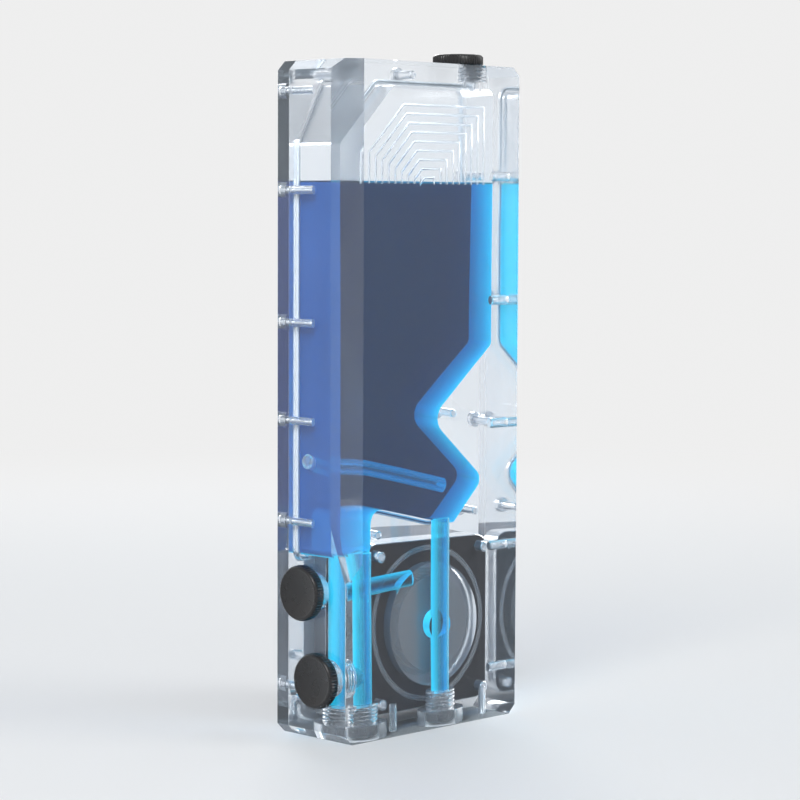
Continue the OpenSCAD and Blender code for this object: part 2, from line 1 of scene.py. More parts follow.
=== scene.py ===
# %% [markdown]
# # A clear acrylic coolant reservoir, dressed for its portrait
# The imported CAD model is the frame: every piece below takes its place from it.
# Lengths are in metres, +Z is up, and the front face looks towards -Y.

# %% Load the frame
import json
from math import cos, pi, radians, sin, sqrt

import bmesh
import bpy
from mathutils import Matrix, Quaternion, Vector
from mathutils.bvhtree import BVHTree


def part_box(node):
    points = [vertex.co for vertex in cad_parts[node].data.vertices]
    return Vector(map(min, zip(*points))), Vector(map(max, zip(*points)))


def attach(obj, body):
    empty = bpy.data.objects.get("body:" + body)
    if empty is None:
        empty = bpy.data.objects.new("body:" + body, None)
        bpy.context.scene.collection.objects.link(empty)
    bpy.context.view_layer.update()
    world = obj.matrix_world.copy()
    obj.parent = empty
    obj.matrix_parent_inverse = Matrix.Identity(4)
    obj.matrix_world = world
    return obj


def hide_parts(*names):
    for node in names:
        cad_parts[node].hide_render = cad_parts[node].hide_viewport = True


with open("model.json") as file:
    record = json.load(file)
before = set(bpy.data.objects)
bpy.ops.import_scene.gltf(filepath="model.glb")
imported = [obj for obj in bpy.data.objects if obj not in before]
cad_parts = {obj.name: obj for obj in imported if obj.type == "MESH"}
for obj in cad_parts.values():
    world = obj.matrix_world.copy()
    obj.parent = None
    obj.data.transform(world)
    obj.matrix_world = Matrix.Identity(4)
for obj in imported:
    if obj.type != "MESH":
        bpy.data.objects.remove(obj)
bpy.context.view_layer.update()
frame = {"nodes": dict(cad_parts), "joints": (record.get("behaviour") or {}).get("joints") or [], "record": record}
MM = 0.001
liquid_low, liquid_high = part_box("coolant")
# The seal lies this far out from the chamber's walls
seal_low, seal_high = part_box("chamber_seal")
seal_reach = 2.15 * MM
chamber_left = seal_low.x + seal_reach

# %% [markdown]
# ## The camera
# The block is seen from its port side's corner, a little from above, with a long
# lens so that its upright edges stay nearly parallel.

# %% Camera
look = Vector((0.7086, 0.7016, -0.0750))
roll = radians(0.25)
camera = bpy.data.objects.new("camera", bpy.data.cameras.new("camera"))
camera.data.lens = 114.7
camera.data.clip_start = 0.05
camera.location = (-0.6712, -0.6647, 0.1922)
camera.rotation_mode = "QUATERNION"
camera.rotation_quaternion = look.to_track_quat("-Z", "Y") @ Quaternion((0, 0, 1), roll)
bpy.context.scene.collection.objects.link(camera)
bpy.context.scene.camera = camera

# %% [markdown]
# ## Finishes: sums on sockets
# A finish is a tree of nodes. Wiring each Math node by hand hides the sum that it
# stands for, so a small class wraps a socket and lets Python's own + * and > do it.


# %% A socket that takes part in sums
class Wire:
    """One output of a finish's tree."""

    def __init__(self, finish, socket):
        self.finish, self.socket = finish, socket

    def math(self, operation, a, b=0.0):
        return self.finish.node("Math", {"operation": operation}, {0: a, 1: b})

    def __add__(self, other):
        return self.math("ADD", self, other)

    def __mul__(self, other):
        return self.math("MULTIPLY", self, other)

    def __gt__(self, other):
        return self.math("GREATER_THAN", self, other)

    __radd__, __rmul__ = __add__, __mul__


class Finish:
    """A material while its tree is being built."""

    def __init__(self, name):
        self.material = bpy.data.materials.new(name)
        self.material.use_nodes = True
        self.tree = self.material.node_tree
        self.tree.nodes.clear()
        self.end = self.tree.nodes.new("ShaderNodeOutputMaterial")

    def node(self, kind, settings={}, sockets={}, out=0):
        """Adds any node: its settings first, then the values or links of its sockets."""
        node = self.tree.nodes.new("ShaderNode" + kind)
        for name, value in settings.items():
            setattr(node, name, value)
        for name, value in sockets.items():
            self.feed(self.find(node.inputs, name), value)
        return Wire(self, self.find(node.outputs, out))

    def find(self, sockets, name):
        if isinstance(name, int):
            return sockets[name]
        return next(s for s in sockets if s.name == name and s.enabled)

    def feed(self, socket, value):
        if isinstance(value, Wire):
            self.tree.links.new(value.socket, socket)
        elif isinstance(value, tuple) and len(value) == 3 and socket.type == "RGBA":
            socket.default_value = (*value, 1)
        else:
            socket.default_value = value

    def place(self):
        return self.node("TexCoord", out="Object")

    def noise(self, scale, detail=2.0, stretch=(1, 1, 1)):
        """Soft random cloud from 0 to 1, scale in cells per metre."""
        spot = self.node("Mapping", {}, {"Vector": self.place(), "Scale": stretch})
        return self.node("TexNoise", {}, {"Vector": spot, "Scale": scale, "Detail": detail},
                         "Fac")

    def tint(self, mask, dark, light):
        return self.node("Mix", {"data_type": "RGBA"},
                         {"Factor": mask, "A": dark, "B": light}, "Result")

    def part(self, wire, name):
        """Another output of the node that a wire comes from."""
        return Wire(self, self.find(wire.socket.node.outputs, name))

    def math_abs(self, value):
        return self.node("Math", {"operation": "ABSOLUTE"}, {0: value})

    def math_max(self, a, b):
        return self.node("Math", {"operation": "MAXIMUM"}, {0: a, 1: b})

    def bump(self, height, depth):
        return self.node("Bump", {}, {"Height": height, "Distance": depth}, "Normal")

    def surface(self, **sockets):
        """A Principled shader, its sockets named with _ for a space."""
        named = {name.replace("_", " "): value for name, value in sockets.items()}
        return self.node("BsdfPrincipled", {}, named, "BSDF")

    def done(self, shader, volume=None):
        self.feed(self.end.inputs["Surface"], shader)
        if volume:
            self.feed(self.end.inputs["Volume"], volume)
        return self.material


# %% [markdown]
# ## Clear finishes
# Acrylic and coolant bend light by different amounts, so each gets a glass with
# its own index. A milled wall scatters light, so part of it is a matt haze. Where
# the coolant lies against such a wall it gets a painted glow and a painted lit
# colour, dimmer on the port side, in place of lamp light coming through the wall.
# Lamps can't find their way through bent light in a short render, so for rays
# from lamps the same surface is a plain tinted film.


# %% Glass that lets lamps through
def clear(finish, glass, film):
    lamp = finish.node("LightPath", out="Is Shadow Ray")
    thin = finish.node("BsdfTransparent", {}, {"Color": film})
    return finish.node("MixShader", {}, {0: lamp, 1: glass, 2: thin})


ACRYLIC_INDEX = 1.49
COOLANT_INDEX = 1.34
# Shares of red, green and blue that the dye spares, and its strength per metre
DYE_COLOUR, DYE_DENSITY = (0.0, 0.93, 0.965), 900.0
DEEP = (0.0, 0.014, 0.11)


def acrylic(name, rough, haze, line_depth, mirror):
    """Acrylic whose tool marks scatter a share of the light as a pale haze."""
    finish = Finish(name)
    lines = finish.noise(900, 2, (1, 1, 0.03))
    cloud = finish.noise(55, 3, (1, 1, 0.4))
    glass = finish.surface(
        Base_Color=(0.97, 0.985, 1.0), Transmission_Weight=1.0, IOR=ACRYLIC_INDEX,
        Specular_Tint=(mirror, mirror, mirror),
        Roughness=rough * (0.5 + cloud), Normal=finish.bump(lines, line_depth * MM),
    )
    mist = finish.surface(Base_Color=(0.66, 0.76, 0.88), Roughness=0.5)
    hazy = finish.node("MixShader", {}, {0: haze * (0.6 + 0.8 * cloud), 1: glass, 2: mist})
    return finish.done(clear(finish, hazy, (0.90, 0.95, 0.98)))


def coolant_finish():
    """Deep blue dye: clear glass of water whose colour comes from its depth; its side faces carry a painted glow
    and a painted lit colour.
    """
    finish = Finish("coolant")
    glass = finish.surface(
        Base_Color=(1.0, 1.0, 1.0), Transmission_Weight=1.0, IOR=COOLANT_INDEX,
        Specular_Tint=(0.1, 0.1, 0.1), Roughness=0.0,
    )
    # Faces that look sideways lie against a milled wall; they are painted with a glow and a lit colour in place of
    # lamp light through that wall, and the port side is painted dimmer as painted shade
    normal = finish.node("SeparateXYZ", {}, {0: finish.node("NewGeometry", out="Normal")})
    across, upward = finish.part(normal, "X"), finish.part(normal, "Z")
    sideways = finish.math_abs(across) + 0.8 * finish.math_abs(upward)
    spot = finish.node("SeparateXYZ", {}, {0: finish.place()})
    height = finish.part(spot, "Z")
    # Painted light: faces away from the port side get the lit cyan colour and a stronger glow, while the port side
    # keeps a dimmer blue as painted shade
    painted_light_side = finish.node("MapRange", {}, {"Value": finish.part(spot, "X"),
                                          "From Min": chamber_left + 0.9 * MM,
                                          "From Max": chamber_left + 1.9 * MM}, "Result")
    under = finish.node("MapRange", {}, {"Value": height, "From Min": liquid_high.z - 0.2 * MM,
                                         "From Max": liquid_high.z - 0.8 * MM}, "Result")
    cloud = finish.noise(70, 3, (1, 1, 0.3))
    # Painted light: a matt skin whose cyan colour and emission glow stand in for lamp light through the milled
    # walls; on the rear faces it carries the deep dye colour
    dye_and_painted_light_skin = finish.surface(
        Base_Color=finish.tint(sideways, DEEP, finish.tint(painted_light_side, (0.0, 0.11, 0.46),
                                                           (0.0, 0.50, 0.80))),
        Roughness=0.45,
        Emission_Color=finish.tint(sideways * painted_light_side, (0.0, 0.006, 0.03),
                                   (0.0, 0.40, 0.55)),
        Emission_Strength=1.0,
    )
    # The far side of the liquid is so deep that next to nothing shines through
    rear = finish.part(spot, "Y") > liquid_high.y - 0.05 * MM
    lit = finish.math_max(0.93 * rear, sideways * (0.56 + 0.3 * cloud)) * under
    mixed = finish.node("MixShader", {}, {0: lit, 1: glass, 2: dye_and_painted_light_skin})
    dye = finish.node("VolumeAbsorption", {}, {"Color": DYE_COLOUR, "Density": DYE_DENSITY})
    return finish.done(clear(finish, mixed, (0.35, 0.72, 0.95)), dye)


acrylic_front = acrylic("acrylic_front", 0.01, 0.025, 0.0, 1.0)
acrylic_polished = acrylic("acrylic_polished", 0.02, 0.07, 0.0, 1.0)
acrylic_milled = acrylic("acrylic_milled", 0.14, 0.13, 0.006, 0.8)
acrylic_wet = acrylic("acrylic_wet", 0.03, 0.01, 0.002, 0.15)
coolant_blue = coolant_finish()
print("clear finishes:", acrylic_polished.name, acrylic_milled.name, coolant_blue.name)

# %% [markdown]
# ## Metal, rubber and plastic
# Each finish is a base colour, a roughness that wanders, and a fine relief.


# %% Opaque finishes
def black_plating():
    """Black plating on turned brass: a dark skin with a faint grain."""
    finish = Finish("black_plating")
    cloud = finish.noise(220, 3)
    grain = finish.noise(2500, 2)
    return finish.done(finish.surface(
        Base_Color=finish.tint(cloud, (0.004, 0.004, 0.005), (0.012, 0.012, 0.014)),
        Metallic=0.0, Roughness=0.22 + 0.12 * cloud, Coat_Weight=0.1, Coat_Roughness=0.05,
        Normal=finish.bump(grain, 0.004 * MM),
    ))


def black_rubber():
    finish = Finish("black_rubber")
    grain = finish.noise(3000, 3)
    return finish.done(finish.surface(
        Base_Color=finish.tint(grain, (0.012, 0.012, 0.013), (0.03, 0.03, 0.032)),
        Roughness=0.45 + 0.2 * grain, Normal=finish.bump(grain, 0.01 * MM),
    ))


def screw_steel():
    finish = Finish("screw_steel")
    grain = finish.noise(1800, 3)
    return finish.done(finish.surface(
        Base_Color=finish.tint(grain, (0.62, 0.63, 0.65), (0.82, 0.83, 0.85)),
        Metallic=1.0, Roughness=0.18 + 0.15 * grain, Normal=finish.bump(grain, 0.004 * MM),
    ))


def pump_plastic():
    """Glass-filled nylon, spark-eroded: a tight leathery grain."""
    finish = Finish("pump_plastic")
    grain = finish.node("TexVoronoi", {}, {"Vector": finish.place(), "Scale": 2200.0},
                        "Distance")
    cloud = finish.noise(70, 3)
    return finish.done(finish.surface(
        Base_Color=finish.tint(cloud, (0.050, 0.046, 0.058), (0.075, 0.068, 0.084)),
        Roughness=0.48 + 0.12 * cloud, Normal=finish.bump(grain, 0.03 * MM),
    ))


def drawn_steel():
    finish = Finish("cup_steel")
    lines = finish.noise(600, 3, (1, 8, 1))
    return finish.done(finish.surface(
        Base_Color=finish.tint(lines, (0.030, 0.032, 0.036), (0.060, 0.064, 0.070)),
        Metallic=1.0, Roughness=0.30 + 0.15 * lines,
    ))


def plain(name, dark, light, rough, scale=400.0, metallic=0.0, relief=0.005):
    """A small inner piece: two near shades, mottled, with a light relief."""
    finish = Finish(name)
    cloud = finish.noise(scale, 3)
    return finish.done(finish.surface(
        Base_Color=finish.tint(cloud, dark, light), Metallic=metallic,
        Roughness=rough + 0.1 * cloud, Normal=finish.bump(cloud, relief * MM),
    ))


def copper_wire():
    """Enamelled wire laid turn by turn, told from its upright rows; the colour darkens between rows as painted
    shade in the creases.
    """
    finish = Finish("copper_wire")
    rows_and_shade = finish.node("TexWave", {"bands_direction": "Y"},
                       {"Vector": finish.place(), "Scale": 700.0}, "Fac")
    # Painted shade: each row's colour runs dark into the crease beside it, on top of the real relief of the turns
    return finish.done(finish.surface(
        Base_Color=finish.tint(rows_and_shade, (0.30, 0.10, 0.03), (0.72, 0.33, 0.13)),
        Metallic=1.0, Roughness=0.3, Coat_Weight=0.4, Normal=finish.bump(rows_and_shade, 0.1 * MM),
    ))


finishes = {
    "black_plating": black_plating(),
    "black_rubber": black_rubber(),
    "screw_steel": screw_steel(),
    "pump_plastic": pump_plastic(),
    "cup_steel": drawn_steel(),
    "ball_ceramic": plain("ball_ceramic", (0.80, 0.79, 0.74), (0.90, 0.89, 0.85), 0.08),
    "impeller_plastic": plain("impeller_plastic", (0.014, 0.014, 0.016),
                              (0.030, 0.030, 0.034), 0.28, 900.0),
    "magnet_ferrite": plain("magnet_ferrite", (0.06, 0.06, 0.065), (0.13, 0.13, 0.14),
                            0.55, 1200.0, 0.4, 0.02),
    "stator_steel": plain("stator_steel", (0.36, 0.36, 0.38), (0.56, 0.56, 0.58), 0.35,
                          500.0, 1.0),
    "copper_wire": copper_wire(),
    "board_green": plain("board_green", (0.012, 0.11, 0.045), (0.02, 0.17, 0.07), 0.3),
    "clear_silicone": plain("clear_silicone", (0.66, 0.70, 0.74), (0.80, 0.84, 0.88), 0.4),
}
print("opaque finishes:", len(finishes))

# %% [markdown]
# ## Copies of CAD solids
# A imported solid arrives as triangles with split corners. A copy with its corners
# welded and its flat faces made whole can be cut, bevelled and shaded like a model
# made by hand. The CAD solid is then hidden, and stays for the physics.

# %% Helpers for pieces
SHARP = radians(32)


def welded(node):
    """A bmesh of one CAD node, closed, with its flat faces whole."""
    bm = bmesh.new()
    bm.from_mesh(frame["nodes"][node].data)
    bmesh.ops.remove_doubles(bm, verts=bm.verts, dist=0.002 * MM)
    bmesh.ops.dissolve_limit(bm, angle_limit=radians(0.4), verts=bm.verts, edges=bm.edges)
    return bm


def shown(bm, name, body, materials, replaces=()):
    """The bmesh as an object that rides on a body and stands for CAD nodes."""
    mesh = bpy.data.meshes.new(name)
    bm.to_mesh(mesh)
    bm.free()
    for layer in [a for a in mesh.attributes if a.name == "custom_normal"]:
        mesh.attributes.remove(layer)
    for material in materials:
        mesh.materials.append(material)
    shade(mesh)
    piece = bpy.data.objects.new(name, mesh)
    bpy.context.scene.collection.objects.link(piece)
    if body:
        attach(piece, body)
        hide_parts(*replaces)
    return piece


def shade(mesh):
    mesh.polygons.foreach_set("use_smooth", [True] * len(mesh.polygons))
    mesh.set_sharp_from_angle(angle=SHARP)


def soften(piece, width, segments=2):
    """Rounds every sharp edge a little, as a tool or a mould leaves it."""
    bevel = piece.modifiers.new("soft_edges", "BEVEL")
    bevel.width, bevel.segments = width, segments
    bevel.limit_method, bevel.angle_limit = "ANGLE", SHARP
    bevel.harden_normals = True
    return piece


def apply_modifiers(piece):
    """Turns what the modifiers make into the piece's own mesh."""
    graph = bpy.context.evaluated_depsgraph_get()
    mesh = bpy.data.meshes.new_from_object(piece.evaluated_get(graph))
    piece.modifiers.clear()
    piece.data = mesh
    shade(mesh)
    return piece


def cut(piece, cutter):
    """Takes the cutter's shape out of the piece."""
    change = piece.modifiers.new("cut", "BOOLEAN")
    change.operation, change.solver, change.object = "DIFFERENCE", "MANIFOLD", cutter
    apply_modifiers(piece)
    bpy.data.objects.remove(cutter)
    return piece


def joint(name):
    return next(j for j in frame["joints"] if j["name"] == name)


def along(spot, axis):
    """The matrix that stands local +Z on a spot, pointing along an axis."""
    turn = Vector(axis).to_track_quat("Z", "Y").to_matrix().to_4x4()
    return Matrix.Translation(spot) @ turn


# %% [markdown]
# ## Turned shapes
# Plugs, screws and threads are all turned on a lathe. One function joins rings of
# points into a closed skin, and each ring may vary its radius with the angle: a
# knurl is a wave round the rim, and a thread is a wave that climbs as it goes.


# %% Lathe
def wave(turns):
    """A triangle wave: 0 at a whole turn, 1 halfway."""
    return 1 - abs(2 * (turns % 1) - 1)


def turned(bm, rings, sides, place):
    """Joins rings of (radius at each turn, height) into one closed skin."""
    loops = []
    for radius, height in rings:
        loop = []
        for i in range(sides):
            r = radius(i / sides) if callable(radius) else radius
            angle = 2 * pi * i / sides
            loop.append(bm.verts.new(place @ Vector((r * cos(angle), r * sin(angle), height))))
        loops.append(loop)
    for low, high in zip(loops, loops[1:]):
        for i in range(sides):
            j = (i + 1) % sides
            bm.faces.new((low[i], low[j], high[j], high[i]))
    bm.faces.new(reversed(loops[0]))
    bm.faces.new(loops[-1])


def thread(start, end, crest, root, pitch, steps=6):
    """Rings of a helical thread between two heights."""
    count = max(2, round(abs(end - start) / pitch * steps))
    rings = []
    for i in range(count + 1):
        height = start + (end - start) * i / count

        def radius(turn, height=height):
            return crest + (root - crest) * wave(height / pitch - turn)

        rings.append((radius, height))
    return rings


# %% [markdown]
# ## The acrylic block
# It is one slab of cast acrylic with polished outside faces. The chamber was
# cleared by a cutter that went round and round, a step further in each time, and
# left faint ridges on the chamber's front wall. They are cut as real grooves,
# because a painted line would not bend the light. Threads are cut the same way.

# %% Sizes read from the frame
block_low, block_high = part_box("reservoir_block")
plate_low, plate_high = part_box("back_plate")
ports = {name: joint(name + "_turn") for name in
         ("fill_cap", "outlet_plug", "inlet_plug", "return_drain", "pump_drain")}
chamber_right = seal_high.x - seal_reach
chamber_roof = seal_high.z - seal_reach
chamber_front = liquid_low.y
liquid_tree = BVHTree.FromBMesh(welded("coolant"))
print("chamber from", round(chamber_left / MM, 1), "to", round(chamber_right / MM, 1))

# %% Port threads, mounting threads
PORT_PITCH = 1.337 * MM
PORT_RADIUS = 6.58 * MM
PORT_DEPTHS = {"fill_cap": 5.9, "outlet_plug": 9, "inlet_plug": 9,
               "return_drain": 7, "pump_drain": 7}
M4_PITCH, M4_RADIUS = 0.7 * MM, 1.65 * MM


def thread_cutters():
    bm = bmesh.new()
    for name, turn in ports.items():
        depth = PORT_DEPTHS[name] * MM
        rings = thread(-depth + 0.15 * MM, -0.5 * MM, PORT_RADIUS - 0.02 * MM,
                       PORT_RADIUS + 0.45 * MM, PORT_PITCH, 6)
        turned(bm, rings, 56, along(turn["pos_m"], turn["axis"]))
    return shown(bm, "thread_cutters", None, [acrylic_milled])


def hole_spots():
    """Mouths of the blind mounting holes: each pattern's spacing lies along X or Z."""
    spots = {}
    for mount in frame["record"]["mounts"]:
        dims = mount["dims"]
        if mount["kind"] != "bolt_pattern":
            continue
        step = Vector((dims.get("spacing_x_mm", 0), 0, dims.get("spacing_y_mm", 0))) * MM / 2
        for side in (-1, 1):
            spot = Vector(mount["pos_m"]) + side * step
            spots[tuple(round(v, 5) for v in spot)] = mount["axis"]
    return spots


def hole_cutters():
    bm = bmesh.new()
    for spot, axis in hole_spots().items():
        rings = thread(-8.6 * MM, -0.3 * MM, M4_RADIUS - 0.02 * MM,
                       M4_RADIUS + 0.25 * MM, M4_PITCH, 4)
        turned(bm, rings, 28, along(spot, axis))
    return shown(bm, "hole_cutters", None, [acrylic_milled])


print("mounting holes:", len(hole_spots()))

# %% Rings that the cutter left
RING_STEP = 3.3 * MM
FIRST_RING = 7.0 * MM
ROOF_SLANT = 21.5 * MM
GROOVE_WIDTH, GROOVE_DEPTH = 1.0 * MM, 0.18 * MM


def ring_path(inset):
    """One pass of the cutter: up the port side, over the slant and down again."""
    left, right = chamber_left + inset, chamber_right - inset
    roof = chamber_roof - inset
    # Moving the slant in by the inset shortens it by this much at each end
    slant = max(0, ROOF_SLANT - inset * (2 - sqrt(2)))
    floor, fade = liquid_high.z - 1 * MM, liquid_high.z + 2 * MM
    path = [(left, floor), (left, fade), (left, roof - slant), (left + slant, roof),
            (right, roof), (right, fade), (right, floor)]
    return [Vector((x, 0, z)) for x, z in path]


def groove(bm, path, y):
    """A V-shaped bar along a flat path, point down into the wall at depth y."""
    sections = []
    for i, spot in enumerate(path):
        before = (path[i] - path[i - 1]).normalized() if i else None
        after = (path[i + 1] - path[i]).normalized() if i + 1 < len(path) else None
        way = ((before or after) + (after or before)).normalized()
        side = way.cross(Vector((0, 1, 0)))
        stretch = 1 / max(0.3, way.dot(after or before))
        half = side * GROOVE_WIDTH / 2 * stretch
        deep = Vector((0, -GROOVE_DEPTH if 0 < i < len(path) - 1 else -0.01 * MM, 0))
        out = Vector((0, 0.3 * MM, 0))
        at = spot + Vector((0, y, 0))
        sections.append([bm.verts.new(at + v) for v in (half, deep, -half, -half + out,
                                                        half + out)])
    for a, b in zip(sections, sections[1:]):
        for i in range(5):
            j = (i + 1) % 5
            bm.faces.new((a[i], a[j], b[j], b[i]))
    bm.faces.new(sections[0])
    bm.faces.new(reversed(sections[-1]))


def ring_cutters():
    bm = bmesh.new()
    inset = FIRST_RING
    while chamber_right - chamber_left > 2 * inset + RING_STEP:
        groove(bm, ring_path(inset), chamber_front)
        inset += RING_STEP
    bmesh.ops.recalc_face_normals(bm, faces=bm.faces)
    return shown(bm, "ring_cutters", None, [acrylic_milled])


print("rings:", int((chamber_right - chamber_left - RING_STEP) / 2 / RING_STEP))

# %% Block
POLISHED, MILLED, WET, FRONT = 0, 1, 2, 3
ACRYLICS = [acrylic_polished, acrylic_milled, acrylic_wet, acrylic_front]


def outside(face, low, high):
    """True for a face of the sawn outline: it has nothing of the block beyond it."""
    n, c = face.normal, face.calc_center_median()
    middle = (low + high) / 2
    reach = sum(abs(n[i]) * (high[i] - low[i]) / 2 for i in range(3))
    slack = 8.4 * MM * min(abs(n.x) + abs(n.y) + abs(n.z) - 1, 1)
    return n.dot(c - middle) > reach - slack - 0.2 * MM


def wetted(face):
    """True where the coolant stands against the chamber's front wall or a bore."""
    c = face.calc_center_median()
    inside = all(liquid_low[i] - 0.1 * MM < c[i] < liquid_high[i] + 0.1 * MM
                 for i in range(3))
    front_wall = face.normal.y > 0.9 and c.y < chamber_front + 0.2 * MM
    return inside and (front_wall or in_channel(c))


def in_channel(spot):
    """True on the skin of a filled bore: it lies within the coolant's own mesh."""
    return liquid_tree.find_nearest(spot, 0.15 * MM)[0] is not None


def acrylic_block():
    bm = welded("reservoir_block")
    level = Vector((0, 0, liquid_high.z))
    everything = [*bm.verts, *bm.edges, *bm.faces]
    bmesh.ops.bisect_plane(bm, geom=everything, plane_co=level, plane_no=(0, 0, 1))
    piece = shown(bm, "block", "reservoir", ACRYLICS, ["reservoir_block"])
    for cutter in (thread_cutters(), hole_cutters(), ring_cutters()):
        cut(piece, cutter)
    bm = bmesh.new()
    bm.from_mesh(piece.data)
    for face in bm.faces:
        polished = outside(face, block_low, block_high)
        face.material_index = POLISHED if polished else WET if wetted(face) else MILLED
        # The front and the flat beside it are polished clear
        if polished and face.normal.y < -0.3:
            face.material_index = FRONT
    bm.to_mesh(piece.data)
    bm.free()
    shade(piece.data)
    return soften(piece, 0.25 * MM)


block = acrylic_block()
print("block:", len(block.data.polygons), "faces")

# %% [markdown]
# ## The back plate
# A polished 6 mm sheet. A hair of air stays between it and the block, as it does
# between any two dry sheets, and that gap mirrors the light at a low angle.

# %% Back plate
AIR_GAP = 0.05 * MM


def back_plate():
    bm = welded("back_plate")
    for vert in bm.verts:
        if vert.co.y < plate_low.y + 0.01 * MM:
            vert.co.y += AIR_GAP
    for face in bm.faces:
        polished = outside(face, plate_low, plate_high) or abs(face.normal.y) > 0.9
        face.material_index = POLISHED if polished else MILLED
        if abs(face.normal.y) > 0.9:
            face.material_index = FRONT
    piece = shown(bm, "plate", "reservoir", ACRYLICS, ["back_plate"])
    return soften(piece, 0.2 * MM)


plate = back_plate()
print("plate:", len(plate.data.polygons), "faces")

# %% [markdown]
# ## The coolant
# Liquid wets its walls, so no air lies between it and the acrylic. The liquid's
# skin reaches a hair into the acrylic: a ray then enters the liquid before it
# leaves the plastic, and bends once, by the difference of the two.

# %% Coolant
WETTING = 0.06 * MM
LIQUID_TOP_SLACK = 0.3 * MM


def coolant():
    bm = welded("coolant")
    bmesh.ops.recalc_face_normals(bm, faces=bm.faces)
    bm.normal_update()
    moves = {v: v.normal.copy() * v.calc_shell_factor() * WETTING for v in bm.verts}
    for vert, move in moves.items():
        if vert.co.z > liquid_high.z - LIQUID_TOP_SLACK:
            move.z = 0
        if vert.co.y > liquid_high.y - 0.01 * MM:
            move.y = AIR_GAP + WETTING
        vert.co += move
    return shown(bm, "liquid", "reservoir", [coolant_blue], ["coolant"])


liquid = coolant()
print("liquid:", len(liquid.data.polygons), "faces")

# %% [markdown]
# ## The tube in the chamber
# A short clear tube, let into the port wall.

# %% Tube
def chamber_tube():
    bm = welded("chamber_tube")
    return soften(shown(bm, "tube", "reservoir", [acrylic_polished],
                        ["chamber_tube"]), 0.15 * MM)


tube = chamber_tube()

# %% [markdown]
# ## Port plugs
# Each plug is turned brass, plated black: a knurled head to turn by hand, a groove
# for its ring and a short thread. The face is bare, with a rounded rim.

# %% Plugs
KNURLS = 56
KNURL_DEPTH = 0.35 * MM
HEAD_GAP, HEAD_HEIGHT, STUB = 0.3 * MM, 4.2 * MM, 5.6 * MM


def plug(name, node, body, head_radius, turn):
    """Rings from the face's middle outwards, round the head and down the thread."""
    top = HEAD_GAP + HEAD_HEIGHT

    def knurled(share):
        return lambda turn: head_radius - KNURL_DEPTH * (1 - share * (1 - wave(turn * KNURLS)))

    face = head_radius - 1.0 * MM
    rings = [(0.4 * MM, top - 0.25 * MM), (face - 0.9 * MM, top - 0.25 * MM),
              (face - 0.6 * MM, top - 0.12 * MM),
              (face - 0.3 * MM, top), (face + 0.2 * MM, top),
              (head_radius - 0.55 * MM, top - 0.15 * MM),
              (knurled(0.0), top - 0.45 * MM), (knurled(1.0), top - 0.8 * MM),
              (knurled(1.0), HEAD_GAP + 0.8 * MM), (knurled(0.0), HEAD_GAP + 0.45 * MM),
              (head_radius - 0.6 * MM, HEAD_GAP + 0.1 * MM),
              (head_radius - 0.8 * MM, HEAD_GAP),
              (8.78 * MM, HEAD_GAP), (8.76 * MM, 1.6 * MM), (7.04 * MM, 1.6 * MM),
              (7.02 * MM, HEAD_GAP + 0.05 * MM), (6.5 * MM, HEAD_GAP)]
    # A neck runs out into the thread
    rings += [(6.1 * MM, -0.4 * MM)]
    rings += thread(-0.9 * MM, -STUB + 1.2 * MM, 6.5 * MM, 5.8 * MM, PORT_PITCH, 6)
    rings += [(5.7 * MM, -STUB + 0.8 * MM), (5.5 * MM, -STUB), (4.0 * MM, -STUB)]
    bm = bmesh.new()
    turned(bm, rings, KNURLS * 4, along(turn["pos_m"], turn["axis"]))
    bmesh.ops.recalc_face_normals(bm, faces=bm.faces)
    return shown(bm, name, body, [finishes["black_plating"]], [node])


plugs = []
for name, turn in ports.items():
    node = name if name in frame["nodes"] else name + "_plug"
    low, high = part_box(node)
    spread = sorted(high - low)
    plugs.append(plug(name + "_turned", node, turn["child"], spread[-1] / 2, turn))
    ring = node.replace("_plug", "_seal") if "drain" in name else node + "_seal"
    frame["nodes"][ring].data.materials[0] = finishes["black_rubber"]
print("plugs:", len(plugs))

# %% [markdown]
# ## Screws
# Cap screws with a hexagon socket. The threads show through the acrylic, so each
# shank has a real helix.

# %% Screws
def islands(node):
    """Boxes of a node's separate solids."""
    bm = bmesh.new()
    bm.from_mesh(frame["nodes"][node].data)
    bmesh.ops.remove_doubles(bm, verts=bm.verts, dist=0.002 * MM)
    left, boxes = set(bm.verts), []
    while left:
        todo, found = [left.pop()], []
        while todo:
            vert = todo.pop()
            found.append(vert.co.copy())
            for edge in vert.link_edges:
                other = edge.other_vert(vert)
                if other in left:
                    left.remove(other)
                    todo.append(other)
        boxes.append([Vector(f(v[i] for v in found) for i in range(3)) for f in (min, max)])
    bm.free()
    return sorted(boxes, key=lambda b: tuple(b[0]))


def hexagon(radius):
    """Radius at each turn of a hexagon with this radius to its corners."""
    return lambda turn: radius * cos(pi / 6) / cos((turn % (1 / 6)) * 2 * pi - pi / 6)


def cap_screw(bm, low, high, head_radius, head_height, shank, pitch):
    """Head towards +Y, thread towards -Y."""
    length = high.y - low.y
    middle = (low + high) / 2
    place = along(Vector((middle.x, high.y - head_height, middle.z)), (0, 1, 0))
    tip = -(length - head_height)
    socket = hexagon(shank * 0.98)
    rings = [(0.2 * MM, tip), (shank * 0.7, tip), (shank * 0.92, tip + 0.35 * shank)]
    rings += thread(tip + 0.4 * shank, -0.2 * MM, shank, shank - 0.6 * pitch, pitch, 4)
    rings += [(shank, 0), (head_radius - 0.1 * MM, 0), (head_radius, 0.1 * MM),
              (head_radius, head_height - 0.35 * MM),
              (head_radius - 0.35 * MM, head_height), (shank * 1.12, head_height),
              (socket, head_height - 0.15 * MM), (socket, head_height / 2),
              (shank * 0.3, head_height / 2 - 0.25 * MM)]
    turned(bm, rings, 36, place)


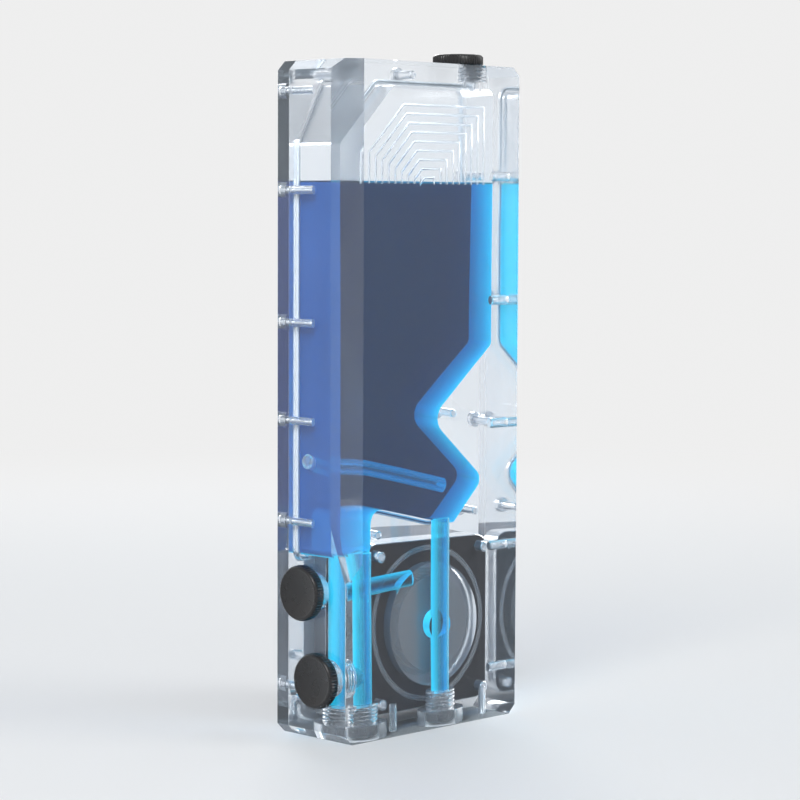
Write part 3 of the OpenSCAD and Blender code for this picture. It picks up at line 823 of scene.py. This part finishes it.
def screw_set(name, node, head_radius, head_height, shank, pitch):
    bm = bmesh.new()
    for low, high in islands(node):
        cap_screw(bm, low, high, head_radius * MM, head_height * MM, shank * MM, pitch * MM)
    bmesh.ops.recalc_face_normals(bm, faces=bm.faces)
    return shown(bm, name, "reservoir", [finishes["screw_steel"]], [node])


plate_screws = screw_set("plate_cap_screws", "plate_screws", 2.75, 3.0, 1.5, 0.5)
pump_screws = screw_set("pump_cap_screws", "pump_screws", 3.5, 2.6, 2.0, 0.7)
print("screw faces:", len(plate_screws.data.polygons), len(pump_screws.data.polygons))

# %% [markdown]
# ## The pump and what it holds
# Moulded and pressed pieces keep their CAD shape. A small bevel catches the light
# on their edges.

# %% Pump pieces
DRESSED = {
    "chamber_seal": ("reservoir", "clear_silicone", 0.5),
    "pump_housing": ("reservoir", "pump_plastic", 0.4),
    "pump_cover": ("reservoir", "pump_plastic", 0.4),
    "impeller": ("rotor", "impeller_plastic", 0.15),
    "rotor_magnet": ("rotor", "magnet_ferrite", 0.2),
    "rotor_cup": ("reservoir", "cup_steel", 0.2),
    "stator_core": ("reservoir", "stator_steel", 0.1),
    "stator_coils": ("reservoir", "copper_wire", 0.9),
    "circuit_board": ("reservoir", "board_green", 0.1),
    "cable_inlet": ("reservoir", "black_rubber", 0.3),
}
for node, (body, slot, width) in DRESSED.items():
    piece = shown(welded(node), node + "_dressed", body, [finishes[slot]], [node])
    soften(piece, width * MM, 3)
for node, slot in (("bearing_ball", "ball_ceramic"), ("pump_seal", "black_rubber")):
    frame["nodes"][node].data.materials[0] = finishes[slot]
print("dressed:", len(DRESSED))

# %% [markdown]
# ## Floor, backdrop and light
# A round bowl of pale paper stands all round, so that every view has the same
# backdrop. Far out it shows the camera and the glass one even tone; near the
# block it is lit as paper is, and holds the shadow.


# %% Stage
PALE = 0.86


def paper():
    finish = Finish("paper")
    away = finish.node("VectorMath", {"operation": "LENGTH"}, {0: finish.place()}, "Value")
    far = finish.node("MapRange", {"interpolation_type": "SMOOTHSTEP"},
                      {"Value": away, "From Min": 0.35, "From Max": 1.1}, "Result")
    seen = finish.node("LightPath", out="Is Camera Ray")
    mirrored = finish.node("LightPath", out="Is Glossy Ray")
    passed = finish.node("LightPath", out="Is Transmission Ray")
    looks = finish.math_max(seen, finish.math_max(mirrored, passed))
    matt = finish.node("BsdfDiffuse", {}, {"Color": (0.80, 0.81, 0.82)})
    even = finish.node("Emission", {}, {"Color": (PALE, PALE, PALE), "Strength": 1.0})
    return finish.done(finish.node("MixShader", {}, {0: far * looks, 1: matt, 2: even}))


def bowl():
    bm = bmesh.new()
    floor, curve = 2.6, 1.2
    profile = [(0.4, 0.0), (floor, 0.0)]
    profile += [(floor + curve * sin(pi / 16 * i), curve * (1 - cos(pi / 16 * i)))
                for i in range(1, 9)]
    profile += [(floor + curve, 3.2)]
    loops = []
    sides = 96
    for r, z in profile:
        loops.append([bm.verts.new((r * cos(2 * pi * i / sides), r * sin(2 * pi * i / sides), z))
                      for i in range(sides)])
    bm.faces.new(loops[0])
    for low, high in zip(loops, loops[1:]):
        for i in range(sides):
            j = (i + 1) % sides
            bm.faces.new((low[i], low[j], high[j], high[i]))
    piece = shown(bm, "paper_bowl", None, [paper()])
    return piece


def lamp(name, spot, size, watts, colour=(1, 1, 1)):
    light = bpy.data.lights.new(name, "AREA")
    light.shape, light.size, light.energy, light.color = "DISK", size, watts, colour
    piece = bpy.data.objects.new(name, light)
    piece.location = spot
    aim = Vector((0, 0, 0.12)) - Vector(spot)
    piece.rotation_mode = "QUATERNION"
    piece.rotation_quaternion = aim.to_track_quat("-Z", "Y")
    bpy.context.scene.collection.objects.link(piece)
    return piece


bowl()
lamp("key", (-1.3, -0.5, 1.1), 0.8, 14)
lamp("fill", (0.9, -1.3, 0.9), 1.0, 8)
lamp("back", (0.9, 1.2, 1.0), 0.9, 12)
world = bpy.data.worlds.new("studio")
world.use_nodes = True
world.node_tree.nodes["Background"].inputs["Color"].default_value = (0.86, 0.88, 0.9, 1)
world.node_tree.nodes["Background"].inputs["Strength"].default_value = 0.55
bpy.context.scene.world = world
bpy.context.scene.view_settings.view_transform = "Standard"
